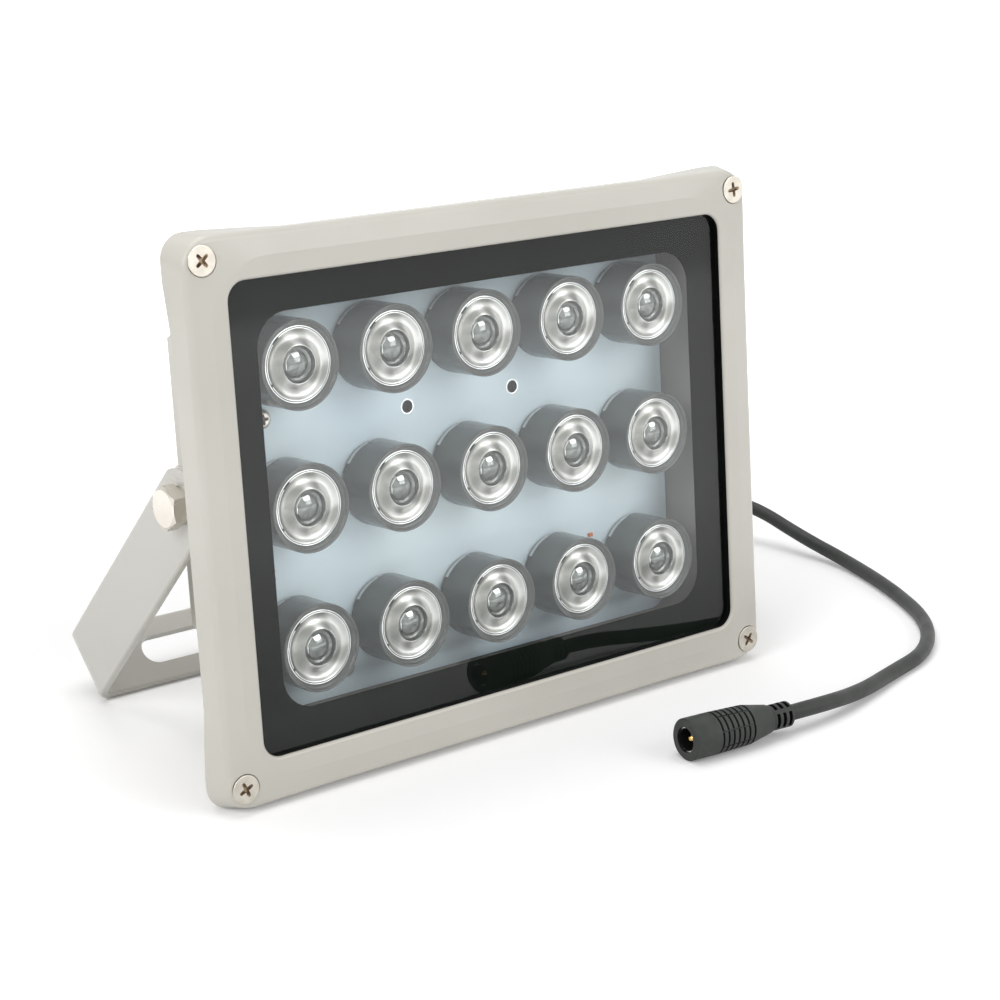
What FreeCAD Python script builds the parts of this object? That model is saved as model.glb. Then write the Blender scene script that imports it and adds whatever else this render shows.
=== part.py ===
import FreeCAD, Part
import math
import os
from FreeCAD import Placement, Rotation, Vector

# An infrared illuminator: a glass-fronted lamp with fifteen lensed emitters on a strap bracket.
# The lamp is drawn upright in its own frame, X right, Y backwards, Z up, with Y = 0 on the flat
# of the bezel. It is then leaned back on its bracket and stood on the floor, which is Z = 0.
# All sizes are in millimetres.

# How far a cutting shape reaches past the faces it opens
cut_margin = 1.0

# Bezel
bezel_x = 175.6
bezel_z = 136.4
bezel_corner_r = 8.0
frame_x = 10.5
frame_z = 11.0
opening_r = 4.8
band_width = 5.9
plateau_r = 16.0
crease_drop = 0.9
crease_round = 1.8
bezel_depth = 8.3
side_flare_x = 0.5
side_flare_z = -0.4
lip_round = 0.8
glass_recess = 2.2
ear_r = 6.2
ear_flat = 4.6
ear_ramp_x = 22.0
ear_ramp_z = 14.5
screw_inset_x = 4.5
screw_inset_z = 5.33

# Glass and its gasket
glass_thickness = 3.0
glass_overlap = 3.3
glass_corner_r = 6.0
glass_gap = 0.4
gasket_width_x = 7.1
gasket_width_z = 4.1

# Bezel screws
bezel_screw_r = 2.0
bezel_screw_length = 10.4
bezel_head_r = 3.85
bezel_head_rim = 0.3
head_proud = 0.25
cross_length = 4.4
cross_width = 0.9
cross_depth = 1.3
thread_gap = 0.05
bezel_shank_gap = 0.2

# Rear housing
shell_inset_x = 12.8
shell_inset_z = 10.2
shell_corner_r = 10.0
draft_deg = 14.0
wall = 2.5
back_wall = 3.5
shell_depth = 37.7
flange_thickness = 3.0
flange_inset = 2.4
thread_run_out = 1.0
fin_count = 11
fin_pitch = 12.0
fin_height = 12.0
fin_root = 2.6
fin_tip = 1.8
fin_root_margin = 5.0
fin_sink = 1.0
fin_end_slope = 6.0

# Pivot and bracket
pivot_depth = 34.3
pivot_boss_r = 10.0
pivot_boss_proud = 3.83
pivot_boss_length = 12.85
strap_width = 20.0
strap_thickness = 2.5
strap_edge_r = 0.8
bend_inner_r = 3.0
bracket_reach = 82.2
bracket_deg = -41.8
arm_end_offset = 1.3
pivot_hole_gap = 0.05
slot_width = 8.5
slot_length = 30.0
slot_centre_x = 41.5
pivot_bolt_r = 3.0
pivot_bolt_length = 14.0
hex_across_flats = 10.0
hex_height = 3.7
hex_chamfer_deg = 30.0
hex_top_r = 4.7
washer_thickness = 1.3
washer_r = 4.9
washer_bore_gap = 0.15
washer_split = 1.0

# Emitter board
board_thickness = 1.6
board_front = 18.2
board_gap = 0.3
board_corner_r = 7.6
board_hole_r = 1.6
spare_hole_shift = 3.0
board_post_r = 4.0
small_screw_r = 1.5
small_screw_length = 8.0
driver_screw_length = 4.0
small_head_r = 2.65
small_head_top_r = 2.3
small_head_height = 2.0
board_screw_top = 2.7
board_screw_low = 7.1
side_screw_inset = 8.3
side_screw_rise = 3.8
lead_notch_width = 5.0
lead_notch_depth = 5.0
sensor_shift = (-1.0, 7.8)
sensor_size = (1.3, 0.6, 1.0)

# Emitters, holders and lenses
led_columns = 5
led_rows = 3
led_margin_x = 21.24
led_margin_z = 22.36
holder_r = 11.0
holder_wall = 1.6
holder_height = 12.5
holder_seat = 0.8
lens_recess = 1.2
lens_rim = 1.2
lens_fit = 0.05
lens_tail_r = 3.4
lens_tail_gap = 2.3
lens_crater_r = 4.4
lens_crater_floor_r = 2.8
lens_crater_depth = 3.6
emitter_size = 3.45
emitter_height = 0.8
emitter_dome_r = 1.35
emitter_dome_height = 1.2

# Driver
driver_x = 100.0
driver_z = 70.0
driver_thickness = 1.6
driver_standoff = 4.0
driver_post_r = 3.5
driver_hole_inset = 5.0
driver_corner_r = 2.0
capacitor_r = 5.0
capacitor_height = 11.0
capacitor_edge = 0.5
capacitor_groove_height = 2.0
capacitor_place = (-20.0, 14.0)
inductor_r = 6.5
inductor_waist_r = 5.0
inductor_height = 8.0
inductor_flange = 1.4
inductor_place = (6.0, 12.0)
chip_size = (6.0, 1.6, 4.0)
chip_place = (4.0, -12.0)
chip_chamfer = 0.25
terminal_size = (8.0, 9.0, 10.2)
terminal_x = 38.0
terminal_z = -20.0
terminal_bore_r = 1.6
terminal_bore_depth = 4.0
lead_r = 0.6
lead_spacing = 5.1
lead_gap = 0.4
lead_end_gap = 0.2
lead_lift = 2.0
lead_tail = 6.0
input_lead_run = 8.0
input_lead_level = 10.0

# Cable gland
gland_behind_board = 3.2
gland_inset_z = 12.3
gland_pad_r = 7.0
gland_pad_proud = 2.0
gland_pad_length = 7.3
gland_hole_depth = 12.3
gland_thread_length = 3.5
gland_thread_r = 4.0
gland_bore_r = 2.7
gland_ring_r = 5.6
gland_ring_thickness = 1.0
gland_hex_flats = 12.0
gland_hex_height = 4.5
gland_cup_r = 4.6
gland_cup_height = 4.0
gland_seal_r = 3.6
gland_seal_length = 5.6
gland_nut_height = 6.7
gland_nut_end = 1.2
gland_nut_top_r = 4.3
gland_nut_taper_deg = 45.0
gland_nut_gap = 0.2

# Power cord and its socket
cord_r = 2.1
insert_fit = 0.02
cord_start_inset = 8.3
cord_level_length = 10.5
cord_free_route = [(98.0, 0.0, 0.0), (113.0, 15.5, -0.6), (117.5, 37.0, -2.6)]
cord_floor_route = [(118.5, 31.0, 20.6), (132.8, 45.0, 18.0), (152.5, 45.0, 15.0), (165.5, 31.0, 12.0),
                    (167.2, 9.0, 5.7), (167.9, -10.0, 2.2), (158.2, -38.0, 2.1), (144.2, -64.5, 2.1),
                    (124.5, -81.0, 2.1), (104.0, -86.0, 2.1), (85.0, -92.0, 3.0)]
socket_r = 5.5
socket_front = (21.2, -91.4)
socket_turn_deg = -6.2
socket_plain_length = 7.9
socket_edge = 0.4
grip_rings = 7
grip_pitch = 1.7
grip_groove_depth = 0.4
grip_groove_width = 0.6
grip_taper = 0.3
grip_panels = 8
grip_panel_gap = 0.35
grip_panel_depth = 0.2
socket_taper_length = 7.2
socket_taper_end_r = 3.8
relief_length = 7.4
relief_r = 3.4
relief_edge = 0.6
relief_slot_first = 1.3
relief_slot_pitch = 1.95
relief_slot_width = 1.0
relief_slot_rows = 3
relief_slot_span = 3.9
relief_skin = 0.25
relief_seat_depth = 3.0
sleeve_r = 3.3
sleeve_wall = 0.3
sleeve_length = 10.0
sleeve_inset = 0.5
socket_pin_r = 1.0
socket_pin_inset = 1.5
socket_pin_chamfer = 0.5
socket_pin_collar_r = 1.6
socket_pin_root = 3.0

# Values that follow from the sizes above
opening_x = bezel_x - 2 * frame_x
opening_z = bezel_z - 2 * frame_z
plateau_x = bezel_x - 2 * band_width
plateau_z = bezel_z - 2 * band_width
screw_x = bezel_x / 2 - screw_inset_x
screw_z = bezel_z / 2 - screw_inset_z
back_half_x = bezel_x / 2 + side_flare_x
back_half_z = bezel_z / 2 + side_flare_z
glass_half_x = opening_x / 2 + glass_overlap
glass_half_z = opening_z / 2 + glass_overlap
glass_back = glass_recess + glass_thickness
draft = math.tan(math.radians(draft_deg))
shell_back = bezel_depth + shell_depth
cavity_back = shell_back - back_wall
board_back = board_front + board_thickness
led_pitch_x = (opening_x - 2 * led_margin_x) / (led_columns - 1)
led_pitch_z = (opening_z - 2 * led_margin_z) / (led_rows - 1)
lead_notch_z = -led_pitch_z / 2
boss_face_x = bezel_x / 2 - shell_inset_x - (pivot_depth - bezel_depth) * draft + pivot_boss_proud
pivot_boss_inner_x = boss_face_x - pivot_boss_length
bracket_half_x = boss_face_x + strap_thickness
arm_end_r = strap_width / 2
gland_depth = board_back + gland_behind_board
gland_taken = (gland_depth - bezel_depth) * draft
gland_z = gland_inset_z + shell_inset_z + gland_taken - bezel_z / 2
gland_pad_face_x = bezel_x / 2 - shell_inset_x - gland_taken + gland_pad_proud
gland_inner_x = gland_pad_face_x - gland_pad_length
gland_hole_inner_x = gland_pad_face_x - gland_hole_depth
gland_neck_x = gland_pad_face_x - gland_thread_length
holder_front = board_front - holder_height
lens_front = holder_front + lens_recess
lens_r = holder_r - holder_wall - lens_fit
lens_back = board_front - lens_tail_gap
driver_back = cavity_back - driver_standoff
driver_front = driver_back - driver_thickness
gland_ring_x = gland_pad_face_x + gland_ring_thickness
gland_cup_x = gland_ring_x + gland_hex_height
gland_nut_x = gland_cup_x + gland_nut_gap
gland_end_x = gland_nut_x + gland_nut_height
grip_end_r = socket_r - grip_taper


# Small helpers

def moved(shape, x=0.0, y=0.0, z=0.0):
    """A copy of the shape, moved."""
    copy = shape.copy()
    copy.translate(Vector(x, y, z))
    return copy


def arc_edge(centre_x, centre_z, radius, start_deg, y):
    """A quarter circle in the plane at depth y."""
    points = []
    for angle in (start_deg, start_deg + 45, start_deg + 90):
        turn = math.radians(angle)
        points.append(Vector(centre_x + radius * math.cos(turn), y, centre_z + radius * math.sin(turn)))
    return Part.Arc(*points).toShape()


def joined(edges):
    """A closed wire from edges in order, with straight lines across the gaps between them."""
    ring = []
    for edge, following in zip(edges, edges[1:] + edges[:1]):
        ring.append(edge)
        end = edge.valueAt(edge.LastParameter)
        start = following.valueAt(following.FirstParameter)
        if (end - start).Length > 1e-6:
            ring.append(Part.LineSegment(end, start).toShape())
    return Part.Wire(ring)


def rounded_rect(half_x, half_z, radius, y):
    """A rectangle with round corners in the plane at depth y."""
    arcs = []
    for side_x, side_z, start_deg in ((1, 1, 0), (-1, 1, 90), (-1, -1, 180), (1, -1, 270)):
        arcs.append(arc_edge(side_x * (half_x - radius), side_z * (half_z - radius), radius, start_deg, y))
    return joined(arcs)


def rounded_slab(half_x, half_z, radius, y_front, y_back):
    """A flat plate with round corners between two depths."""
    face = Part.Face(rounded_rect(half_x, half_z, radius, y_front))
    return face.extrude(Vector(0, y_back - y_front, 0))


def eared_outline(half_x, half_z, arc_x, arc_z, arc_r, y):
    """An outline whose sides step out to a corner arc about (arc_x, arc_z) along short ramps."""
    reach_x = arc_x + arc_r
    reach_z = arc_z + arc_r
    flat_z = screw_z - ear_flat
    flat_x = screw_x - ear_flat
    quarter = [(half_x, flat_z - ear_ramp_z), (reach_x, flat_z), (reach_x, arc_z)]
    quarter_after = [(arc_x, reach_z), (flat_x, reach_z), (flat_x - ear_ramp_x, half_z)]
    edges = []
    for side_x, side_z, start_deg in ((1, 1, 0), (-1, 1, 90), (-1, -1, 180), (1, -1, 270)):
        before = [Vector(side_x * x, y, side_z * z) for x, z in quarter]
        after = [Vector(side_x * x, y, side_z * z) for x, z in quarter_after]
        if side_x * side_z < 0:
            before, after = after[::-1], before[::-1]
        edges += [Part.LineSegment(a, b).toShape() for a, b in zip(before, before[1:])]
        edges.append(arc_edge(side_x * arc_x, side_z * arc_z, arc_r, start_deg, y))
        edges += [Part.LineSegment(a, b).toShape() for a, b in zip(after, after[1:])]
    return joined(edges)


def cylinder_x(x_start, x_end, radius, y, z):
    """A cylinder along X."""
    return Part.makeCylinder(radius, x_end - x_start, Vector(x_start, y, z), Vector(1, 0, 0))


def cylinder_y(y_start, y_end, radius, x, z):
    """A cylinder along Y."""
    return Part.makeCylinder(radius, y_end - y_start, Vector(x, y_start, z), Vector(0, 1, 0))


def turned(points, axis_x=0.0, axis_z=0.0):
    """A solid of revolution about a line along Y, from (radius, depth) points."""
    corners = [Vector(radius, depth, 0) for radius, depth in points]
    face = Part.Face(Part.makePolygon(corners + corners[:1]))
    return moved(face.revolve(Vector(0, 0, 0), Vector(0, 1, 0), 360), axis_x, 0, axis_z)


def prism(corners, direction):
    """A solid with a flat polygon for its section."""
    return Part.Face(Part.makePolygon(corners + corners[:1])).extrude(direction)


def hexagon_x(x_start, x_end, across_flats, y, z, turn_deg=0.0):
    """A hexagonal prism along X."""
    corner_r = across_flats / math.sqrt(3)
    corners = []
    for index in range(6):
        angle = math.radians(60 * index + turn_deg)
        corners.append(Vector(x_start, y + corner_r * math.cos(angle), z + corner_r * math.sin(angle)))
    return prism(corners, Vector(x_end - x_start, 0, 0))


def tube(points, radius, name):
    """A round cord along straight runs joined by tangent arcs, with its arc radii printed."""
    edges = []
    radii = []
    here = points[0]
    for before, corner, after in zip(points, points[1:], points[2:]):
        way_in = (corner - before).normalize()
        way_out = (after - corner).normalize()
        half_turn = way_in.getAngle(way_out) / 2
        reach = 0.45 * min((corner - before).Length, (after - corner).Length)
        arc_r = reach / math.tan(half_turn)
        start = corner - way_in * reach
        end = corner + way_out * reach
        inwards = (way_out - way_in).normalize()
        middle = corner + inwards * (arc_r / math.cos(half_turn) - arc_r)
        edges.append(Part.LineSegment(here, start).toShape())
        edges.append(Part.Arc(start, middle, end).toShape())
        radii.append(arc_r)
        here = end
    edges.append(Part.LineSegment(here, points[-1]).toShape())
    spine = Part.Wire(edges)
    section = Part.Wire([Part.makeCircle(radius, points[0], points[1] - points[0])])
    solid = spine.makePipeShell([section], True, True)
    expected = math.pi * radius ** 2 * spine.Length
    print(name, "length", round(spine.Length, 1), "volume / expected", round(solid.Volume / expected, 4))
    print(name, "arc radii", [round(value, 1) for value in radii])
    return solid


def cross_recess(centre_x, centre_z, y_head, length, width, depth):
    """The cross-shaped recess of a screw head that faces -Y."""
    bar = Part.makeBox(length, depth, width, Vector(-length / 2, y_head, -width / 2))
    upright = Part.makeBox(width, depth, length, Vector(-width / 2, y_head, -length / 2))
    return moved(bar.fuse(upright), centre_x, 0, centre_z)


def corners_of(half_x, half_z):
    """The four corners of a rectangle."""
    return [(side_x * half_x, side_z * half_z) for side_x in (1, -1) for side_z in (1, -1)]


def led_places():
    """Centres of the emitters, row by row from the top left."""
    places = []
    for row in range(led_rows):
        for column in range(led_columns):
            x = (column - (led_columns - 1) / 2) * led_pitch_x
            z = ((led_rows - 1) / 2 - row) * led_pitch_z
            places.append((x, z))
    return places


def board_half():
    """Half width and half height of the emitter board."""
    return shell_half(board_back, wall + board_gap)


def board_screw_places():
    """Places of the emitter board's screws: two above, two below and one at the left."""
    half_x, half_z = board_half()
    between_columns = (led_columns - 2) / 2 * led_pitch_x
    places = [(side * between_columns, half_z - board_screw_top) for side in (-1, 1)]
    places += [(side * between_columns, board_screw_low - half_z) for side in (-1, 1)]
    return places + [(side_screw_inset - half_x, led_pitch_z / 2 + side_screw_rise)]


def spare_hole_places():
    """Places of the board's two unfilled holes, between the upper two rows."""
    return [(side * (led_pitch_x / 2 + spare_hole_shift), led_pitch_z / 2) for side in (-1, 1)]


def shell_half(y, inside=0.0):
    """Half width and half height of the tapered housing at depth y."""
    taken = (y - bezel_depth) * draft + inside
    return bezel_x / 2 - shell_inset_x - taken, bezel_z / 2 - shell_inset_z - taken


# The front of the lamp

def make_bezel():
    front = [rounded_rect(plateau_x / 2, plateau_z / 2, plateau_r, 0),
             rounded_rect(bezel_x / 2, bezel_z / 2, bezel_corner_r, crease_drop)]
    crease_arc_x = bezel_x / 2 - bezel_corner_r
    crease_arc_z = bezel_z / 2 - bezel_corner_r
    sides = [eared_outline(bezel_x / 2, bezel_z / 2, crease_arc_x, crease_arc_z, bezel_corner_r, crease_drop),
             eared_outline(back_half_x, back_half_z, screw_x, screw_z, ear_r, bezel_depth)]
    body = Part.makeLoft(front, True, True).fuse(Part.makeLoft(sides, True, True)).removeSplitter()
    crease = [edge for edge in body.Edges if is_crease(edge)]
    body = body.makeFillet(crease_round, crease)
    opening = rounded_slab(opening_x / 2, opening_z / 2, opening_r, -cut_margin, bezel_depth)
    pocket = rounded_slab(glass_half_x + glass_gap, glass_half_z + glass_gap, glass_corner_r,
                          glass_recess, bezel_depth)
    body = body.cut(opening).cut(pocket)
    lip = [edge for edge in body.Edges if is_lip(edge)]
    body = body.makeFillet(lip_round, lip)
    for x, z in corners_of(screw_x, screw_z):
        body = body.cut(bezel_screw_space(x, z))
    return body


def is_crease(edge):
    """Whether an edge lies on the bezel's outer crease."""
    return all(abs(vertex.Y - crease_drop) < 1e-4 for vertex in edge.Vertexes)


def is_lip(edge):
    """Whether an edge lies on the front rim of the glass opening."""
    box = edge.BoundBox
    on_front = abs(box.YMax) < 1e-3 and abs(box.YMin) < 1e-3
    return on_front and max(abs(box.XMax), abs(box.XMin)) < opening_x / 2 + 1e-3


def bezel_screw_space(x, z):
    """The countersunk hole for one bezel screw."""
    head_y = crease_drop / 2 - head_proud
    seat = bezel_head_r + thread_gap
    shank = bezel_screw_r + bezel_shank_gap
    rim_y = head_y + bezel_head_rim
    front = head_y - cut_margin
    back = bezel_depth + cut_margin
    return turned([(0, front), (seat, front), (seat, rim_y), (shank, rim_y + seat - shank), (shank, back),
                   (0, back)], x, z)


def make_bezel_screws():
    head_y = crease_drop / 2 - head_proud
    cone_start = head_y + bezel_head_rim
    solids = []
    for x, z in corners_of(screw_x, screw_z):
        screw = turned([(0, head_y), (bezel_head_r, head_y), (bezel_head_r, cone_start),
                        (bezel_screw_r, cone_start + bezel_head_r - bezel_screw_r),
                        (bezel_screw_r, head_y + bezel_screw_length), (0, head_y + bezel_screw_length)], x, z)
        solids.append(screw.cut(cross_recess(x, z, head_y, cross_length, cross_width, cross_depth)))
    return Part.makeCompound(solids)


def make_glass():
    return rounded_slab(glass_half_x, glass_half_z, glass_corner_r, glass_recess, glass_back)


def make_gasket():
    outer = rounded_slab(glass_half_x, glass_half_z, glass_corner_r, glass_back, bezel_depth)
    inner = rounded_slab(glass_half_x - gasket_width_x, glass_half_z - gasket_width_z, glass_corner_r,
                         glass_back, bezel_depth)
    return outer.cut(inner)


# The housing

def tapered(y_front, y_back, inside, corner_r):
    """A tapered block that follows the housing's draft, a given distance inside its outer face."""
    front_x, front_z = shell_half(y_front, inside)
    back_x, back_z = shell_half(y_back, inside)
    across = [Vector(side * x, y, -front_z) for side, x, y in
              ((-1, front_x, y_front), (1, front_x, y_front), (1, back_x, y_back), (-1, back_x, y_back))]
    upright = [Vector(-front_x, y, side * z) for side, z, y in
               ((-1, front_z, y_front), (1, front_z, y_front), (1, back_z, y_back), (-1, back_z, y_back))]
    block = prism(across, Vector(0, 0, 2 * front_z)).common(prism(upright, Vector(2 * front_x, 0, 0)))
    depth = y_back - y_front
    corners = [edge for edge in block.Edges if abs(edge.BoundBox.YLength - depth) < 1e-3]
    return block.makeFillet(corner_r, corners)


def make_fins():
    """The vertical cooling fins on the housing's back, thinner at their tips, with sloping ends."""
    root_y = shell_back - fin_sink
    tip_y = shell_back + fin_height
    half_z = shell_half(shell_back)[1] - fin_root_margin
    fins = []
    for index in range(fin_count):
        x = (index - (fin_count - 1) / 2) * fin_pitch
        section = [Vector(x - fin_root / 2, root_y, -half_z), Vector(x + fin_root / 2, root_y, -half_z),
                   Vector(x + fin_tip / 2, tip_y, -half_z), Vector(x - fin_tip / 2, tip_y, -half_z)]
        fins.append(prism(section, Vector(0, 0, 2 * half_z)))
    reach = fin_count * fin_pitch / 2
    side = [Vector(-reach, root_y, -half_z), Vector(-reach, shell_back, -half_z),
            Vector(-reach, tip_y, fin_end_slope - half_z), Vector(-reach, tip_y, half_z - fin_end_slope),
            Vector(-reach, shell_back, half_z), Vector(-reach, root_y, half_z)]
    return Part.makeCompound(fins).common(prism(side, Vector(2 * reach, 0, 0)))


def make_housing():
    flange_outline = eared_outline(back_half_x - flange_inset, back_half_z - flange_inset,
                                   screw_x, screw_z, ear_r - flange_inset, bezel_depth)
    flange = Part.Face(flange_outline).extrude(Vector(0, flange_thickness, 0))
    outside = tapered(bezel_depth, shell_back, 0, shell_corner_r)
    body = flange.fuse(outside)
    body = body.fuse(make_fins().Solids)
    gland_pad = cylinder_x(gland_inner_x, gland_pad_face_x, gland_pad_r, gland_depth, gland_z)
    body = body.fuse(gland_pad)
    for side in (1, -1):
        x_low, x_high = sorted((side * pivot_boss_inner_x, side * boss_face_x))
        body = body.fuse(cylinder_x(x_low, x_high, pivot_boss_r, pivot_depth, 0))
    cavity = tapered(bezel_depth, cavity_back, wall, shell_corner_r - wall)
    body = body.cut(cavity)
    for side in (1, -1):
        x_low, x_high = sorted((side * pivot_boss_inner_x, side * boss_face_x))
        body = body.fuse(cylinder_x(x_low, x_high, pivot_boss_r, pivot_depth, 0))
    body = body.fuse(gland_pad.cut(tapered(bezel_depth, board_back, wall, shell_corner_r - wall)))
    for x, z in board_screw_places():
        body = body.fuse(cylinder_y(board_back, cavity_back, board_post_r, x, z).common(outside))
    for x, z in driver_corners():
        body = body.fuse(cylinder_y(driver_back, cavity_back, driver_post_r, x, z))
    return drill_housing(body.removeSplitter())


def drill_housing(body):
    """The threaded and plain holes of the housing."""
    flange_back = bezel_depth + flange_thickness
    for x, z in corners_of(screw_x, screw_z):
        body = body.cut(cylinder_y(bezel_depth, flange_back, bezel_screw_r + thread_gap, x, z))
    for x, z in board_screw_places():
        end = board_front + small_screw_length + thread_run_out
        body = body.cut(cylinder_y(board_back, end, small_screw_r + thread_gap, x, z))
    for x, z in driver_corners():
        end = driver_front + driver_screw_length + thread_run_out
        body = body.cut(cylinder_y(driver_back, end, small_screw_r + thread_gap, x, z))
    bolt_end = bracket_half_x + washer_thickness - pivot_bolt_length - thread_run_out
    for side in (1, -1):
        x_low, x_high = sorted((side * bolt_end, side * boss_face_x))
        body = body.cut(cylinder_x(x_low, x_high, pivot_bolt_r + thread_gap, pivot_depth, 0))
    return body.cut(cylinder_x(gland_hole_inner_x, gland_pad_face_x, gland_thread_r + thread_gap,
                               gland_depth, gland_z))


# The emitter board and what is on it

def make_board():
    half_x, half_z = board_half()
    body = rounded_slab(half_x, half_z, board_corner_r, board_front, board_back)
    for x, z in board_screw_places() + spare_hole_places():
        body = body.cut(cylinder_y(board_front - cut_margin, board_back + cut_margin, board_hole_r, x, z))
    corner = Vector(-half_x - cut_margin, board_front - cut_margin, lead_notch_z - lead_notch_width / 2)
    notch = Part.makeBox(lead_notch_depth + cut_margin, board_thickness + 2 * cut_margin, lead_notch_width,
                         corner)
    return body.cut(notch)


def pan_head_screw(x, z, seat_y, length):
    """A small pan-head screw whose head sits on the plane at seat_y and faces -Y."""
    head_y = seat_y - small_head_height
    return turned([(0, head_y), (small_head_top_r, head_y), (small_head_r, seat_y), (small_screw_r, seat_y),
                   (small_screw_r, seat_y + length), (0, seat_y + length)], x, z)


def make_board_screws():
    return Part.makeCompound([pan_head_screw(x, z, board_front, small_screw_length)
                              for x, z in board_screw_places()])


def make_emitters():
    solids = []
    front = board_front - emitter_height
    for x, z in led_places():
        base = Part.makeBox(emitter_size, emitter_height, emitter_size,
                            Vector(x - emitter_size / 2, front, z - emitter_size / 2))
        dome = cylinder_y(front - emitter_dome_height, front + emitter_height / 2, emitter_dome_r, x, z)
        solids.append(base.fuse(dome))
    return Part.makeCompound(solids)


def make_holder(x, z):
    """A cup around a lens, with a conical seat under the lens's rim."""
    bore = holder_r - holder_wall
    rim_y = lens_front + lens_rim
    seat_r = bore - holder_seat
    seat_y = rim_y + holder_seat * (lens_back - rim_y) / (lens_r - lens_tail_r)
    return turned([(holder_r, holder_front), (holder_r, board_front), (seat_r, board_front), (seat_r, seat_y),
                   (bore, rim_y), (bore, holder_front)], x, z)


def make_lens(x, z):
    """A collimating lens: a rim, a body that narrows towards the emitter and a crater in front."""
    crater_y = lens_front + lens_crater_depth
    return turned([(0, crater_y), (lens_crater_floor_r, crater_y), (lens_crater_r, lens_front),
                   (lens_r, lens_front), (lens_r, lens_front + lens_rim), (lens_tail_r, lens_back),
                   (0, lens_back)], x, z)


def make_sensor_chip():
    x = (led_columns - 2) / 2 * led_pitch_x + sensor_shift[0]
    z = -(led_rows - 1) / 2 * led_pitch_z + sensor_shift[1]
    width, height, length = sensor_size
    return Part.makeBox(width, height, length, Vector(x - width / 2, board_front - height, z - length / 2))


# The driver

def driver_corners():
    """Places of the driver board's four screws."""
    return corners_of(driver_x / 2 - driver_hole_inset, driver_z / 2 - driver_hole_inset)


def make_driver_board():
    body = rounded_slab(driver_x / 2, driver_z / 2, driver_corner_r, driver_front, driver_back)
    for x, z in driver_corners():
        body = body.cut(cylinder_y(driver_front - cut_margin, driver_back + cut_margin, board_hole_r, x, z))
    return body


def make_driver_screws():
    return Part.makeCompound([pan_head_screw(x, z, driver_front, driver_screw_length)
                              for x, z in driver_corners()])


def make_capacitor():
    """A round can with a crimped groove near its foot."""
    top = driver_front - capacitor_height
    groove = driver_front - capacitor_groove_height
    waist_r = capacitor_r - capacitor_edge
    return turned([(0, top), (waist_r, top), (capacitor_r, top + capacitor_edge),
                   (capacitor_r, groove - capacitor_edge), (waist_r, groove),
                   (capacitor_r, groove + capacitor_edge), (capacitor_r, driver_front),
                   (0, driver_front)], *capacitor_place)


def make_inductor():
    """A drum core with its winding flush in the waist."""
    top = driver_front - inductor_height
    waist_start = top + inductor_flange
    waist_end = driver_front - inductor_flange
    return turned([(0, top), (inductor_r, top), (inductor_r, waist_start), (inductor_waist_r, waist_start),
                   (inductor_waist_r, waist_end), (inductor_r, waist_end), (inductor_r, driver_front),
                   (0, driver_front)], *inductor_place)


def make_chip():
    x, z = chip_place
    width, height, length = chip_size
    body = Part.makeBox(width, height, length, Vector(x - width / 2, driver_front - height, z - length / 2))
    top_edges = [edge for edge in body.Edges if edge.BoundBox.YMax < driver_front - height / 2]
    return body.makeChamfer(chip_chamfer, top_edges)


def lead_heights():
    """The two wires' heights at a terminal block."""
    return [terminal_z - lead_spacing / 2, terminal_z + lead_spacing / 2]


def terminal_bore_y():
    """Depth of the wires' axes where they enter a terminal block."""
    return driver_front - terminal_size[1] / 3


def make_terminals():
    """Two screw terminal blocks, for the cord's wires and for the emitters' wires."""
    width, height, length = terminal_size
    solids = []
    for side in (1, -1):
        x = side * terminal_x
        corner = Vector(x - width / 2, driver_front - height, terminal_z - length / 2)
        body = Part.makeBox(width, height, length, corner)
        for z in lead_heights():
            x_mouth = x + side * width / 2
            x_low, x_high = sorted((x_mouth, x_mouth - side * terminal_bore_depth))
            body = body.cut(cylinder_x(x_low, x_high, terminal_bore_r, terminal_bore_y(), z))
        solids.append(body)
    return Part.makeCompound(solids)


def lead_end_x():
    """Where the wires end inside a terminal block."""
    return terminal_x + terminal_size[0] / 2 - terminal_bore_depth + lead_end_gap


def make_input_leads():
    """The cord's two wires, from the gland to their terminal block."""
    solids = []
    for z, shift in zip(lead_heights(), (-1, 1)):
        aside = shift * (lead_r + lead_gap)
        start_z = gland_z + aside
        points = [Vector(gland_end_x - cord_start_inset, gland_depth, start_z),
                  Vector(gland_inner_x - input_lead_run + aside, gland_depth, start_z),
                  Vector(terminal_x + input_lead_level + aside, terminal_bore_y(), z),
                  Vector(lead_end_x(), terminal_bore_y(), z)]
        solids.append(tube(points, lead_r, "input lead"))
    return Part.makeCompound(solids)


def make_led_leads():
    """The emitters' two wires, from their terminal block round the board's edge to its front."""
    edge_x = board_half()[0] - lead_notch_depth / 2
    solids = []
    for z, shift in zip(lead_heights(), (-1, 1)):
        top_z = lead_notch_z + shift * (lead_r + lead_gap)
        points = [Vector(-lead_end_x(), terminal_bore_y(), z),
                  Vector(-edge_x, terminal_bore_y(), top_z),
                  Vector(-edge_x, board_front - lead_r - lead_lift, top_z),
                  Vector(-edge_x + lead_tail, board_front - lead_r, top_z)]
        solids.append(tube(points, lead_r, "led lead"))
    return Part.makeCompound(solids)


# The bracket and its bolts

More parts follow.
